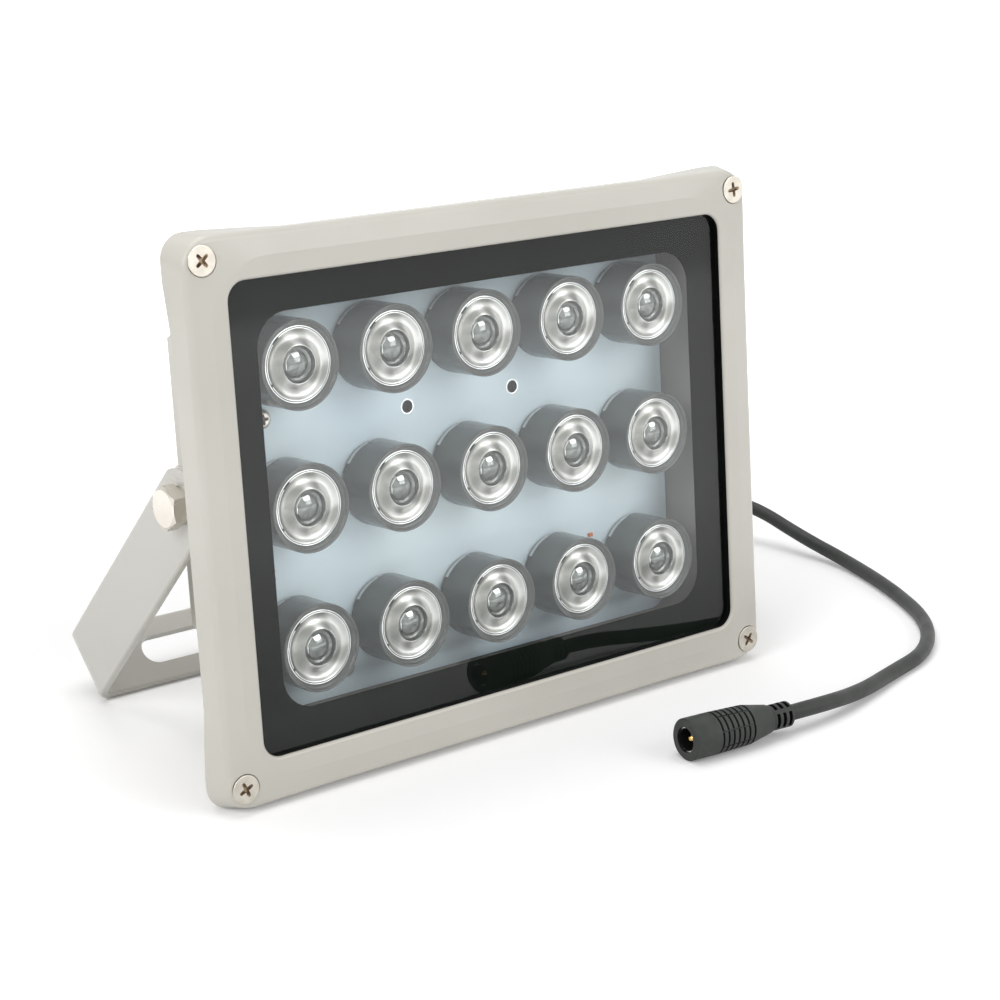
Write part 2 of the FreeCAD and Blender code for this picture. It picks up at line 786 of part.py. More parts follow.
def make_bracket():
    """The U-shaped strap, drawn with its arms along Y and swung to its rest angle."""
    outer = bracket_half_x
    inner = boss_face_x
    outer_r = bend_inner_r + strap_thickness
    back = bracket_reach
    strap = rounded_u(outer, back, outer_r).cut(rounded_u(inner, back - strap_thickness, bend_inner_r))
    long_edges = [edge for edge in strap.Edges if is_strap_edge(edge)]
    strap = strap.makeFillet(strap_edge_r, long_edges)
    strap = strap.common(arm_end_profile())
    for side in (1, -1):
        x_low, x_high = sorted((side * (inner - cut_margin), side * (outer + cut_margin)))
        strap = strap.cut(cylinder_x(x_low, x_high, pivot_bolt_r + pivot_hole_gap, 0, 0))
        strap = strap.cut(slot_space(side * slot_centre_x))
    strap = strap.cut(cylinder_y(back - strap_thickness - cut_margin, back + cut_margin,
                                 slot_width / 2, 0, 0))
    strap.rotate(Vector(0, 0, 0), Vector(1, 0, 0), bracket_deg)
    return moved(strap, 0, pivot_depth, 0)


def rounded_u(half_x, back, radius):
    """A block from ahead of the pivot to the back, with its two rear corners rounded."""
    front = -arm_end_r
    turn = radius * (1 - math.sqrt(0.5))
    profile = Part.Wire([
        Part.LineSegment(Vector(-half_x, front, 0), Vector(half_x, front, 0)).toShape(),
        Part.LineSegment(Vector(half_x, front, 0), Vector(half_x, back - radius, 0)).toShape(),
        Part.Arc(Vector(half_x, back - radius, 0), Vector(half_x - turn, back - turn, 0),
                 Vector(half_x - radius, back, 0)).toShape(),
        Part.LineSegment(Vector(half_x - radius, back, 0), Vector(radius - half_x, back, 0)).toShape(),
        Part.Arc(Vector(radius - half_x, back, 0), Vector(turn - half_x, back - turn, 0),
                 Vector(-half_x, back - radius, 0)).toShape(),
        Part.LineSegment(Vector(-half_x, back - radius, 0), Vector(-half_x, front, 0)).toShape()])
    block = Part.Face(profile).extrude(Vector(0, 0, strap_width))
    return moved(block, 0, 0, -strap_width / 2)


def is_strap_edge(edge):
    """Whether an edge runs along one of the strap's long borders."""
    box = edge.BoundBox
    flat = box.ZLength < 1e-3 and abs(abs(box.ZMax) - strap_width / 2) < 1e-3
    return flat and edge.Length > strap_thickness + 1e-3


def arm_end_profile():
    """The space the arms keep: round at the pivot end, open towards the crossbar."""
    reach_x = bracket_half_x + cut_margin
    end = cylinder_x(-reach_x, reach_x, arm_end_r, arm_end_offset, 0)
    rest = Part.makeBox(2 * reach_x, bracket_reach, 2 * arm_end_r,
                        Vector(-reach_x, arm_end_offset, -arm_end_r))
    return end.fuse(rest)


def slot_space(centre_x):
    """One round-ended slot through the crossbar."""
    half = (slot_length - slot_width) / 2
    y_start = bracket_reach - strap_thickness - cut_margin
    y_end = bracket_reach + cut_margin
    corner = Vector(centre_x - half, y_start, -slot_width / 2)
    middle = Part.makeBox(2 * half, y_end - y_start, slot_width, corner)
    ends = [cylinder_y(y_start, y_end, slot_width / 2, centre_x + shift, 0) for shift in (-half, half)]
    return middle.fuse(ends)


def make_pivot_bolts():
    solids = []
    seat = bracket_half_x + washer_thickness
    top = seat + hex_height
    chamfer = math.tan(math.radians(hex_chamfer_deg))
    for side in (1, -1):
        head = hexagon_x(seat, top, hex_across_flats, 0, 0, 30)
        dome = Part.makeCone(hex_top_r, hex_top_r + hex_height / chamfer, hex_height,
                             Vector(top, 0, 0), Vector(-1, 0, 0))
        head = head.common(dome)
        shank = cylinder_x(seat - pivot_bolt_length, seat + hex_height / 2, pivot_bolt_r, 0, 0)
        bolt = head.fuse(shank)
        if side < 0:
            bolt = bolt.mirror(Vector(0, 0, 0), Vector(1, 0, 0))
        solids.append(moved(bolt, 0, pivot_depth, 0))
    return Part.makeCompound(solids)


def make_spring_washers():
    solids = []
    for side in (1, -1):
        x_low, x_high = sorted((side * bracket_half_x, side * (bracket_half_x + washer_thickness)))
        ring = cylinder_x(x_low, x_high, washer_r, pivot_depth, 0)
        ring = ring.cut(cylinder_x(x_low, x_high, pivot_bolt_r + washer_bore_gap, pivot_depth, 0))
        split = Part.makeBox(washer_thickness, washer_split, washer_r,
                             Vector(x_low, pivot_depth - washer_split / 2, 0))
        solids.append(ring.cut(split))
    return Part.makeCompound(solids)


# The cable gland, drawn along X at the gland's place

def make_gland_body():
    body = cylinder_x(gland_neck_x, gland_ring_x, gland_thread_r, gland_depth, gland_z)
    body = body.fuse(hexagon_x(gland_ring_x, gland_cup_x, gland_hex_flats, gland_depth, gland_z))
    cup_end = gland_cup_x + gland_cup_height
    body = body.fuse(cylinder_x(gland_cup_x, cup_end, gland_cup_r, gland_depth, gland_z))
    seat_x = gland_end_x - gland_nut_end - gland_seal_length
    body = body.cut(cylinder_x(gland_neck_x, seat_x, gland_bore_r, gland_depth, gland_z))
    return body.cut(cylinder_x(seat_x, gland_end_x, gland_seal_r, gland_depth, gland_z))


def make_gland_ring():
    ring = cylinder_x(gland_pad_face_x, gland_ring_x, gland_ring_r, gland_depth, gland_z)
    bore_r = gland_thread_r + thread_gap
    return ring.cut(cylinder_x(gland_pad_face_x, gland_ring_x, bore_r, gland_depth, gland_z))


def make_gland_seal():
    seat_x = gland_end_x - gland_nut_end - gland_seal_length
    seal = cylinder_x(seat_x, gland_end_x - gland_nut_end, gland_seal_r - thread_gap, gland_depth, gland_z)
    return seal.cut(cylinder_x(seat_x, gland_end_x, cord_r + insert_fit, gland_depth, gland_z))


def make_gland_nut():
    nut = hexagon_x(gland_nut_x, gland_end_x, gland_hex_flats, gland_depth, gland_z)
    wide_r = gland_nut_top_r + gland_nut_height / math.tan(math.radians(gland_nut_taper_deg))
    dome = Part.makeCone(wide_r, gland_nut_top_r, gland_nut_height,
                         Vector(gland_nut_x, gland_depth, gland_z), Vector(1, 0, 0))
    nut = nut.common(dome)
    inner_end = gland_end_x - gland_nut_end
    inside = cylinder_x(gland_nut_x, inner_end, gland_cup_r + thread_gap, gland_depth, gland_z)
    mouth = cylinder_x(gland_nut_x, gland_end_x, gland_bore_r, gland_depth, gland_z)
    return nut.cut(inside).cut(mouth)


# The cord and its socket, drawn on the floor

def cord_points(gland_mouth):
    """The cord's route from the gland to the back of its socket. The first point is in the gland."""
    start = Vector(gland_mouth.x - cord_start_inset, gland_mouth.y, gland_mouth.z)
    loose = [Vector(x, gland_mouth.y + back, gland_mouth.z + rise) for x, back, rise in cord_free_route]
    rest = [Vector(*place) for place in cord_floor_route]
    level = socket_point(socket_length() + cord_level_length)
    seated = socket_point(socket_length() - relief_seat_depth)
    return [start] + loose + rest + [level, seated]


def grip_length():
    """Length of the ringed grip, from its first groove to the end of its last."""
    return (grip_rings - 1) * grip_pitch + grip_groove_width


def socket_length():
    """Length of the moulded socket from its front face to the end of its strain relief."""
    return socket_plain_length + grip_length() + socket_taper_length + relief_length


def socket_point(along):
    """A point on the socket's axis, a given distance behind its front face."""
    turn = math.radians(socket_turn_deg)
    x, y = socket_front
    return Vector(x + along * math.cos(turn), y + along * math.sin(turn), socket_r)


def place_socket(shape):
    """Turn a piece drawn along +Y so that it lies on the socket's axis."""
    placed = shape.copy()
    turn = Rotation(Vector(0, 0, 1), socket_turn_deg - 90)
    placed.Placement = Placement(socket_point(0), turn).multiply(placed.Placement)
    return placed


def make_socket_body():
    end = socket_length()
    relief_start = end - relief_length
    taper_start = relief_start - socket_taper_length
    profile = [(0, 0), (socket_r - socket_edge, 0), (socket_r, socket_edge)]
    for index in range(grip_rings):
        groove = index * grip_pitch
        middle = groove + grip_groove_width / 2
        far_side = groove + grip_groove_width
        profile += [(grip_radius(groove), socket_plain_length + groove),
                    (grip_radius(middle) - grip_groove_depth, socket_plain_length + middle),
                    (grip_radius(far_side), socket_plain_length + far_side)]
    profile += [(socket_taper_end_r, relief_start), (relief_r, relief_start), (relief_r, end - relief_edge),
                (relief_r - relief_edge, end), (0, end)]
    body = turned(profile)
    body = body.cut(cylinder_y(0, sleeve_length, sleeve_r + insert_fit, 0, 0))
    body = body.cut(cylinder_y(sleeve_length, sleeve_length + socket_pin_root,
                               socket_pin_collar_r + insert_fit, 0, 0))
    body = body.cut(cylinder_y(end - relief_seat_depth, end, cord_r + insert_fit, 0, 0))
    return place_socket(body.cut(grip_panel_gaps(taper_start)).cut(relief_slots(relief_start)))


def grip_radius(along):
    """The grip's radius a given distance behind its first groove."""
    return socket_r + (grip_end_r - socket_r) * along / grip_length()


def grip_panel_gaps(taper_start):
    """Shallow grooves along the grip that part its rings into panels."""
    gaps = []
    for index in range(grip_panels):
        gap = Part.makeBox(grip_panel_gap, grip_length(), socket_r,
                           Vector(-grip_panel_gap / 2, socket_plain_length, grip_end_r - grip_panel_depth))
        gap.rotate(Vector(0, 0, 0), Vector(0, 1, 0), (index + 0.5) * 360 / grip_panels)
        gaps.append(gap)
    return gaps[0].fuse(gaps[1:])


def relief_slots(relief_start):
    """Rows of slots around the strain relief, four to a row, with a spine between each two."""
    slots = []
    for row in range(relief_slot_rows):
        y = relief_start + relief_slot_first + row * relief_slot_pitch
        for quarter in range(4):
            slot = Part.makeBox(relief_slot_span, relief_slot_width, relief_r,
                                Vector(-relief_slot_span / 2, y, cord_r + relief_skin))
            slot.rotate(Vector(0, 0, 0), Vector(0, 1, 0), 90 * quarter)
            slots.append(slot)
    return slots[0].fuse(slots[1:])


def make_socket_sleeve():
    outer = cylinder_y(sleeve_inset, sleeve_length, sleeve_r, 0, 0)
    return place_socket(outer.cut(cylinder_y(sleeve_inset, sleeve_length, sleeve_r - sleeve_wall, 0, 0)))


def make_socket_pin():
    """The centre pin, with a wider collar that is moulded into the socket's floor."""
    root = sleeve_length + socket_pin_root
    shoulder = socket_pin_inset + socket_pin_chamfer
    return place_socket(turned([(0, socket_pin_inset), (socket_pin_r - socket_pin_chamfer, socket_pin_inset),
                                (socket_pin_r, shoulder), (socket_pin_r, sleeve_length),
                                (socket_pin_collar_r, sleeve_length), (socket_pin_collar_r, root),
                                (0, root)]))


# Standing the lamp on the floor

def lean_deg():
    """The angle at which the bezel's lower back edge and the crossbar's lower corner share a floor."""
    foot = (bezel_depth, -screw_z - ear_r)
    turn = math.radians(bracket_deg)
    along = bracket_reach - strap_edge_r
    down = strap_width / 2 - strap_edge_r
    corner = (pivot_depth + along * math.cos(turn) + down * math.sin(turn),
              along * math.sin(turn) - down * math.cos(turn))
    span_y = corner[0] - foot[0]
    span_z = corner[1] - foot[1]
    return math.degrees(math.atan2(span_z, span_y) - math.asin(strap_edge_r / math.hypot(span_y, span_z)))


def standing(lamp_pieces):
    """The placement that leans the lamp back, rests it on Z = 0 and centres its footprint."""
    lean = Rotation(Vector(1, 0, 0), -lean_deg())
    group = Part.makeCompound(list(lamp_pieces.values()))
    group.Placement = Placement(Vector(0, 0, 0), lean).multiply(group.Placement)
    box = group.optimalBoundingBox(False, False)
    foot = lean.multVec(Vector(0, bezel_depth, -screw_z - ear_r))
    return Placement(Vector(0, -(box.YMin + box.YMax) / 2, -foot.z), lean)


def make_lamp():
    """Every piece of the lamp but the cord and its socket, upright."""
    pieces = {
        "front_bezel": make_bezel(),
        "bezel_screws": make_bezel_screws(),
        "front_glass": make_glass(),
        "glass_gasket": make_gasket(),
        "rear_housing": make_housing(),
        "led_board": make_board(),
        "board_screws": make_board_screws(),
        "led_emitters": make_emitters(),
        "sensor_chip": make_sensor_chip(),
        "driver_board": make_driver_board(),
        "driver_screws": make_driver_screws(),
        "driver_capacitor": make_capacitor(),
        "driver_inductor": make_inductor(),
        "driver_chip": make_chip(),
        "terminal_blocks": make_terminals(),
        "input_leads": make_input_leads(),
        "led_leads": make_led_leads(),
        "mounting_bracket": make_bracket(),
        "pivot_bolts": make_pivot_bolts(),
        "spring_washers": make_spring_washers(),
        "gland_body": make_gland_body(),
        "gland_ring": make_gland_ring(),
        "gland_seal": make_gland_seal(),
        "gland_nut": make_gland_nut(),
    }
    for index, (x, z) in enumerate(led_places(), start=1):
        pieces[f"lens_holder_{index:02d}"] = make_holder(x, z)
        pieces[f"lens_{index:02d}"] = make_lens(x, z)
    return pieces


def make_all():
    """Every piece in its place on the floor."""
    pieces = make_lamp()
    placement = standing(pieces)
    for shape in pieces.values():
        shape.Placement = placement.multiply(shape.Placement)
    gland_mouth = placement.multVec(Vector(gland_end_x, gland_depth, gland_z))
    pieces["power_cord"] = tube(cord_points(gland_mouth), cord_r, "power cord")
    pieces["connector_body"] = make_socket_body()
    pieces["connector_sleeve"] = make_socket_sleeve()
    pieces["connector_pin"] = make_socket_pin()
    report_places(placement, gland_mouth)
    return pieces


def report_places(placement, gland_mouth):
    """Print the places that mounts and joints are stated at."""
    print("lean", round(lean_deg(), 3))
    print("origin offset", placement.Base)
    print("pivot", placement.multVec(Vector(0, pivot_depth, 0)))
    turn = math.radians(bracket_deg)
    face = Vector(0, pivot_depth + bracket_reach * math.cos(turn), bracket_reach * math.sin(turn))
    print("crossbar face", placement.multVec(face))
    print("crossbar normal", placement.Rotation.multVec(Vector(0, math.cos(turn), math.sin(turn))))
    print("gland mouth", gland_mouth)
    print("cord points", [tuple(round(value, 1) for value in point) for point in cord_points(gland_mouth)])


os.makedirs("parts", exist_ok=True)
for name, shape in make_all().items():
    shape.exportStep(f"parts/{name}.step")
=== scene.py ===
import math

import bmesh
import bpy
from mathutils import Matrix, Vector


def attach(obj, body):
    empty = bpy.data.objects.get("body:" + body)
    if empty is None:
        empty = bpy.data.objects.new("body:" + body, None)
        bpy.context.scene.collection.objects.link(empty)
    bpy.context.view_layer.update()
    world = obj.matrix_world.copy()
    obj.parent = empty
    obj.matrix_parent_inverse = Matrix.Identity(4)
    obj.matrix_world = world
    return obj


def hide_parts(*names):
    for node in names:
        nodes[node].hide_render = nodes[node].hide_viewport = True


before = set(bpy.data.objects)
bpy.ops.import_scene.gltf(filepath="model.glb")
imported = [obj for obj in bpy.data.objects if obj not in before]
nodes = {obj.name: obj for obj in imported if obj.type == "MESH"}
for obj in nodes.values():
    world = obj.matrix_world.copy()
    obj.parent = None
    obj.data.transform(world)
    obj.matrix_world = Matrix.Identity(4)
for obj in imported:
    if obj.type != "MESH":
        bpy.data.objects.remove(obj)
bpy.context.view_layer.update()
MM = 0.001

# The lamp leans back from its own upright frame, whose Y = 0 is the flat of the bezel.
LEAN = math.radians(5.074)
LAMP = Matrix.Translation(Vector((0, -45.8115, 69.5334)) * MM) @ Matrix.Rotation(-LEAN, 4, "X")

# Sizes that the added pieces and the second materials share with the part, in millimetres.
# Depths are along the lamp's Y, and halves are from its middle.
OPENING_HALF = (154.6 / 2, 114.4 / 2)
GLASS_HALF = (80.6, 60.5)
GLASS_CORNER_R = 6.0
GLASS_BACK = 5.2
WINDOW_HALF = (68.2, 48.3)
WINDOW_CORNER_R = 8.5
FLANGE_FRONT = 8.3
CAVITY_BACK = 42.5
CAVITY_FRONT_HALF = (72.5, 55.5)
CAVITY_DRAFT = math.tan(math.radians(14.0))
BOARD_FRONT = 18.2
LENS_FRONT = 6.9
LENS_R = 9.35
LENS_PITCH = (28.03, 34.84)
LENS_COLUMNS = 5
LENS_COUNT = 15
HOLDER_FRONT = 5.7
HOLDER_R = 11.0
HOLDER_BORE_R = 9.4
BEZEL_SCREW_HALF = (83.3, 62.87)
BEZEL_SCREW_FRONT = 0.2
BOARD_SCREWS = [(-42.05, 49.63), (42.05, 49.63), (-42.05, -45.23), (42.05, -45.23), (-61.03, 21.22)]
BOARD_SCREW_HEAD = 2.0
BOARD_SCREW_LENGTH = 8.0
SPARE_HOLES = [(-17.02, 17.42), (17.02, 17.42)]
SPARE_HOLE_R = 1.6

# The socket on the cord's end. Places along it are from its front face.
SOCKET_FRONT = (21.2, -91.4)
SOCKET_TURN = math.radians(-6.2)
SOCKET_AXIS = Vector((math.cos(SOCKET_TURN), math.sin(SOCKET_TURN), 0.0))
SOCKET_R = 5.5
BORE_END = 13.5
BORE_R = 3.4
SLEEVE_LIP_END = 0.7
SLEEVE_INNER_R = 3.15
GRIP_GROOVES = (7.8, 18.8)
GRIP_TAPER_START = 7.9
GRIP_TAPER = 0.028
RELIEF_SLOTS = (26.0, 32.8)
RELIEF_CORE_R = 3.3

# The cord's route, from the gland to the socket
CORD_R = 2.1
CORD_POINTS = [(77.4, -26.6, 25.6), (98.0, -26.6, 25.6), (113.0, -11.1, 25.0), (117.5, 10.4, 23.0),
               (118.5, 31.0, 20.6), (132.8, 45.0, 18.0), (152.5, 45.0, 15.0), (165.5, 31.0, 12.0),
               (167.2, 9.0, 5.7), (167.9, -10.0, 2.2), (158.2, -38.0, 2.1), (144.2, -64.5, 2.1),
               (124.5, -81.0, 2.1), (104.0, -86.0, 2.1), (85.0, -92.0, 3.0), (64.7, -96.1, 5.5),
               (51.3, -94.7, 5.5)]


# Materials

GRAIN_DISTANCE = 0.0002
GRAIN_DETAIL = 3.0
TINT_LEVELS = (0.35, 0.65)
TINT_DETAIL = 3.0
GLOSS_LEVELS = (0.3, 0.7)
GLOSS_DETAIL = 2.0
COAT_ROUGHNESS = 0.15
# The lens dish: its greys, painted reflection standing for light inside a clear lens, by the noise's level,
# the noise's scale round the axis, and its twist in radians for each metre from the axis
DISH_REFLECTION_GREYS = ((0.36, (138, 138, 132)), (0.5, (163, 162, 156)), (0.64, (215, 214, 210)))
DISH_SCALE = 1.25
DISH_TWIST = 110.0


def srgb(red, green, blue):
    """A colour as it is seen, 0 to 255, in the linear values that a shader takes."""
    parts = []
    for value in (red, green, blue):
        share = value / 255
        parts.append(share / 12.92 if share <= 0.04045 else ((share + 0.055) / 1.055) ** 2.4)
    return (*parts, 1.0)


def fill(node, values):
    """Set inputs of a node by name."""
    for name, value in values.items():
        node.inputs[name].default_value = value


def new_material(name):
    """A node material with its Principled shader."""
    material = bpy.data.materials.new(name)
    material.use_nodes = True
    return material, material.node_tree, material.node_tree.nodes["Principled BSDF"]


def add_noise(tree, scale, detail):
    """The value of a noise that is fixed to the object."""
    place = tree.nodes.new("ShaderNodeTexCoord")
    noise = tree.nodes.new("ShaderNodeTexNoise")
    fill(noise, {"Scale": scale, "Detail": detail})
    tree.links.new(place.outputs["Object"], noise.inputs["Vector"])
    return noise.outputs["Fac"]


def add_ramp(tree, value, stops):
    """The colour for a value, from rising stops of a level and a colour each."""
    ramp = tree.nodes.new("ShaderNodeValToRGB")
    elements = ramp.color_ramp.elements
    while len(elements) < len(stops):
        elements.new(0.5)
    for element, (level, colour) in zip(elements, stops):
        element.position = level
        element.color = colour
    tree.links.new(value, ramp.inputs["Fac"])
    return ramp.outputs["Color"]


def add_maximum(tree, first, second):
    """The greater of two values."""
    either = tree.nodes.new("ShaderNodeMath")
    either.operation = "MAXIMUM"
    tree.links.new(first, either.inputs[0])
    tree.links.new(second, either.inputs[1])
    return either.outputs[0]


def add_grain(tree, shader, scale, strength):
    """A fine bump all over the surface."""
    bump = tree.nodes.new("ShaderNodeBump")
    fill(bump, {"Strength": strength, "Distance": GRAIN_DISTANCE})
    tree.links.new(add_noise(tree, scale, GRAIN_DETAIL), bump.inputs["Height"])
    tree.links.new(bump.outputs["Normal"], shader.inputs["Normal"])


def vary_roughness(tree, shader, low, high, scale):
    """A slow change of the gloss over the surface."""
    spread = tree.nodes.new("ShaderNodeMapRange")
    fill(spread, {"From Min": GLOSS_LEVELS[0], "From Max": GLOSS_LEVELS[1], "To Min": low, "To Max": high})
    tree.links.new(add_noise(tree, scale, GLOSS_DETAIL), spread.inputs["Value"])
    tree.links.new(spread.outputs["Result"], shader.inputs["Roughness"])


def surface(name, first, second, rough, metallic=0.0, grain_scale=900.0, grain_height=0.1,
            tint_scale=60.0, coat=0.0, specular=0.5):
    """A surface with a soft change between two colours, a little change of gloss and a fine bump."""
    material, tree, shader = new_material(name)
    tint = add_noise(tree, tint_scale, TINT_DETAIL)
    colour = add_ramp(tree, tint, list(zip(TINT_LEVELS, (first, second))))
    tree.links.new(colour, shader.inputs["Base Color"])
    vary_roughness(tree, shader, rough[0], rough[1], tint_scale * 2)
    if grain_height:
        add_grain(tree, shader, grain_scale, grain_height)
    fill(shader, {"Metallic": metallic, "Specular IOR Level": specular})
    if coat:
        fill(shader, {"Coat Weight": coat, "Coat Roughness": COAT_ROUGHNESS})
    return material


def make_dish_reflection():
    """The silvery dish of a lens: a metal that reflects the world, with soft bright and dull sectors of
    painted reflection that twist a little about its axis.
    """
    material, tree, shader = new_material("lens_dish_painted_reflection")
    place = tree.nodes.new("ShaderNodeTexCoord")
    flat = tree.nodes.new("ShaderNodeVectorMath")
    flat.operation = "MULTIPLY"
    flat.inputs[1].default_value = (1.0, 0.0, 1.0)
    radius = tree.nodes.new("ShaderNodeVectorMath")
    radius.operation = "LENGTH"
    unit = tree.nodes.new("ShaderNodeVectorMath")
    unit.operation = "NORMALIZE"
    angle = tree.nodes.new("ShaderNodeMath")
    angle.operation = "MULTIPLY"
    angle.inputs[1].default_value = DISH_TWIST
    twist = tree.nodes.new("ShaderNodeVectorRotate")
    twist.rotation_type = "Y_AXIS"
    noise = tree.nodes.new("ShaderNodeTexNoise")
    fill(noise, {"Scale": DISH_SCALE, "Detail": 0.0})
    tree.links.new(place.outputs["Object"], flat.inputs[0])
    tree.links.new(flat.outputs["Vector"], radius.inputs[0])
    tree.links.new(flat.outputs["Vector"], unit.inputs[0])
    tree.links.new(radius.outputs["Value"], angle.inputs[0])
    tree.links.new(unit.outputs["Vector"], twist.inputs["Vector"])
    tree.links.new(angle.outputs["Value"], twist.inputs["Angle"])
    tree.links.new(twist.outputs["Vector"], noise.inputs["Vector"])
    colour = add_ramp(tree, noise.outputs["Fac"], [(level, srgb(*grey)) for level, grey in DISH_REFLECTION_GREYS])
    tree.links.new(colour, shader.inputs["Base Color"])
    fill(shader, {"Roughness": 0.3, "Metallic": 0.85})
    return material


def make_window_glass():
    """Clear window glass. Light that falls through it goes straight, so that the inside is lit."""
    material, tree, shader = new_material("window_glass")
    fill(shader, {"Base Color": (0.975, 0.995, 1.0, 1.0), "Roughness": 0.0, "IOR": 1.4,
                  "Transmission Weight": 1.0})
    clear = tree.nodes.new("ShaderNodeBsdfTransparent")
    path = tree.nodes.new("ShaderNodeLightPath")
    mix = tree.nodes.new("ShaderNodeMixShader")
    straight = add_maximum(tree, path.outputs["Is Shadow Ray"], path.outputs["Is Diffuse Ray"])
    tree.links.new(straight, mix.inputs[0])
    tree.links.new(shader.outputs[0], mix.inputs[1])
    tree.links.new(clear.outputs[0], mix.inputs[2])
    tree.links.new(mix.outputs[0], tree.nodes["Material Output"].inputs["Surface"])
    return material


# Painted metal, fasteners and seals
paint = surface("powder_coat", srgb(201, 198, 189), srgb(196, 193, 184), (0.34, 0.44),
                grain_scale=1300.0, grain_height=0.16, tint_scale=25.0, coat=0.3)
# The housing's inside has the same paint; this darker grey is painted shade, as little light reaches in.
inside_painted_shade = surface("housing_inside_painted_shade", srgb(142, 143, 138), srgb(132, 133, 128), (0.5, 0.6),
                      grain_scale=700.0, grain_height=0.2, tint_scale=40.0, specular=0.3)
strap_paint = surface("strap_coat", srgb(197, 195, 188), srgb(194, 192, 185), (0.3, 0.33),
                      grain_height=0.0, tint_scale=25.0, coat=0.3)
nickel = surface("nickel", srgb(206, 201, 190), srgb(190, 184, 173), (0.3, 0.42), metallic=1.0,
                 grain_scale=2500.0, grain_height=0.08, tint_scale=400.0)
# Darker brown in the screws' cross recesses: painted shade.
recess_shade = surface("cross_recess_painted_shade", srgb(168, 148, 122), srgb(112, 96, 78), (0.35, 0.5), metallic=0.5,
                 grain_scale=2500.0, grain_height=0.1, tint_scale=700.0)
zinc = surface("zinc_plate", srgb(212, 207, 199), srgb(203, 197, 188), (0.24, 0.34), metallic=1.0,
               tint_scale=90.0, grain_height=0.0)
# Near black on the opening's wall: sealant beside the glass, painted shade on the bezel's wall in front of
# it.
sealant_and_shade_black = surface("black_sealant_and_painted_shade", srgb(10, 10, 10), srgb(14, 14, 14), (0.5, 0.6), specular=0.1)
silicone = surface("silicone", srgb(44, 45, 44), srgb(36, 37, 36), (0.6, 0.75), grain_scale=800.0)

# Glass, optics and board
window_glass = make_window_glass()
print_black = surface("printed_border", srgb(25, 32, 27), srgb(21, 25, 22), (0.5, 0.6), tint_scale=40.0,
                      grain_height=0.0, specular=0.0)
holder_plastic = surface("holder_plastic", srgb(72, 80, 78), srgb(62, 70, 68), (0.16, 0.26),
                         grain_scale=900.0, grain_height=0.04, tint_scale=120.0)
# The cup's front rim is the same plastic as the cup; its lighter grey is painted light from above.
holder_rim_painted_light = surface("holder_rim_painted_light", srgb(84, 87, 83), srgb(66, 69, 65), (0.16, 0.26),
                     grain_height=0.04, tint_scale=160.0)
# Pale colour of the crescent at each cup's foot: a painted highlight.
holder_painted_highlight = surface("holder_painted_highlight", srgb(206, 212, 214), srgb(192, 198, 200), (0.2, 0.3),
                      grain_height=0.0)
# Bright metal for each lens's rim, also on the dome's facets that are painted glints.
rim_and_glint_bright = surface("lens_rim_and_painted_glints", srgb(244, 244, 242), srgb(232, 232, 230), (0.12, 0.2), metallic=1.0)
lens_groove = surface("lens_groove", srgb(116, 114, 108), srgb(92, 90, 86), (0.3, 0.4))
dish_painted_reflection = make_dish_reflection()
crater = surface("lens_crater", srgb(136, 138, 134), srgb(106, 108, 104), (0.1, 0.2), metallic=0.8,
                 tint_scale=260.0, grain_height=0.0)
crater_dome = surface("lens_dome", srgb(144, 147, 143), srgb(100, 103, 99), (0.04, 0.1), metallic=0.8,
                      tint_scale=420.0, grain_scale=330.0, grain_height=0.5)
solder_mask = surface("white_solder_mask", srgb(233, 250, 255), srgb(226, 245, 255), (0.32, 0.42),
                      grain_height=0.0, tint_scale=22.0)
bare_tin = surface("bare_tin", srgb(252, 253, 253), srgb(244, 246, 247), (0.3, 0.4), metallic=1.0,
                   tint_scale=300.0, grain_height=0.0)
ceramic = surface("emitter_base", srgb(236, 230, 210), srgb(226, 219, 198), (0.3, 0.4), tint_scale=300.0)
orange = surface("orange_chip", srgb(232, 128, 62), srgb(212, 108, 50), (0.35, 0.45), tint_scale=900.0)

# Driver and wires
green_mask = surface("green_solder_mask", srgb(24, 92, 52), srgb(18, 80, 44), (0.3, 0.4))
black_plastic = surface("black_plastic", srgb(40, 41, 40), srgb(33, 34, 33), (0.45, 0.55), specular=0.3)
green_plastic = surface("green_plastic", srgb(60, 150, 84), srgb(50, 136, 74), (0.4, 0.5))
can = surface("capacitor_can", srgb(206, 208, 212), srgb(192, 195, 200), (0.25, 0.35), metallic=1.0)
red_lead = surface("lead_jacket", srgb(160, 44, 36), srgb(142, 36, 30), (0.5, 0.6))

# Cord and socket
jacket = surface("cord_jacket", srgb(58, 61, 58), srgb(50, 53, 50), (0.4, 0.52), grain_scale=1500.0,
                 grain_height=0.12, tint_scale=90.0, specular=0.3)
moulded = surface("socket_rubber", srgb(63, 67, 63), srgb(55, 58, 55), (0.5, 0.62), grain_scale=1800.0,
                  grain_height=0.22, tint_scale=150.0, specular=0.25)
# Near black for the socket's bore, grooves and slots, the sleeve's inside, the board's open holes and each
# cup's foot: painted shade. It also colours the dark dashes in each lens's groove.
shade_and_dash_black = surface("shade_and_dash_black", srgb(22, 23, 22), srgb(16, 17, 16), (0.6, 0.7), specular=0.1)
sleeve_metal = surface("sleeve_metal", srgb(226, 225, 220), srgb(206, 205, 199), (0.16, 0.26), metallic=1.0)
brass = surface("pin_brass", srgb(232, 196, 122), srgb(214, 176, 104), (0.18, 0.28), metallic=1.0,
                tint_scale=600.0)


# Second materials, on faces that a test picks

# Faces of the opening's wall lie within this of the opening, behind this depth, and are this steep.
OPENING_MARGIN = 4.0
OPENING_WALL_FRONT = 0.78
OPENING_WALL_SLOPE = 0.35
# How much a face of a ring groove slopes along the socket
GROOVE_SLOPE = 0.3


